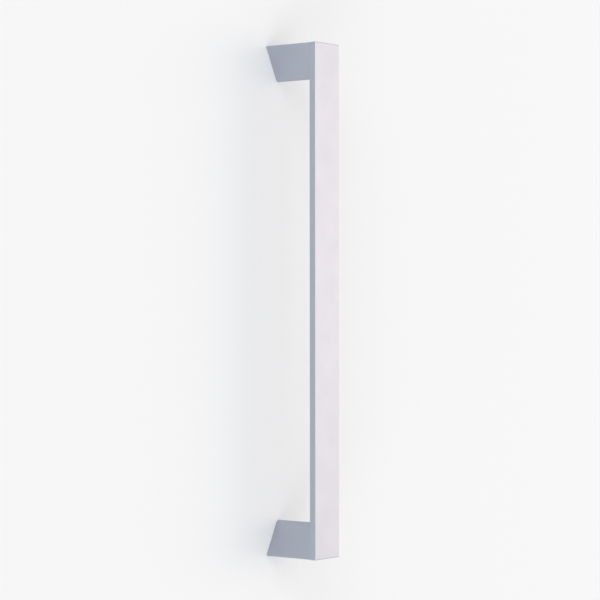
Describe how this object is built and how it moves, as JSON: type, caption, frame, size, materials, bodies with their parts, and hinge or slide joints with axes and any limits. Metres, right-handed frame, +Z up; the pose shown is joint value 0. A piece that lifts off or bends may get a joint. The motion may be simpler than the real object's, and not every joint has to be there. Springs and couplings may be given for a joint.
{
  "type": "cabinet pull",
  "caption": "Straight flat-bar cabinet pull on three-sided feet at its very ends, tapped from behind for machine screws, satin metal.",
  "frame": {"origin": "on the door's face, midway between the two screw holes", "axes": "+Z up along the bar, as the picture shows it; +Y into the door, so the bar's front faces -Y; +X to the right, seen from the front"},
  "size_m": [0.021, 0.0326, 0.269],
  "materials": {
    "satin_metal": "fine satin plating on a die casting, edges a little brighter"
  },
  "bodies": {
    "root": {"pull": "satin_metal"}
  },
  "joints": []
}
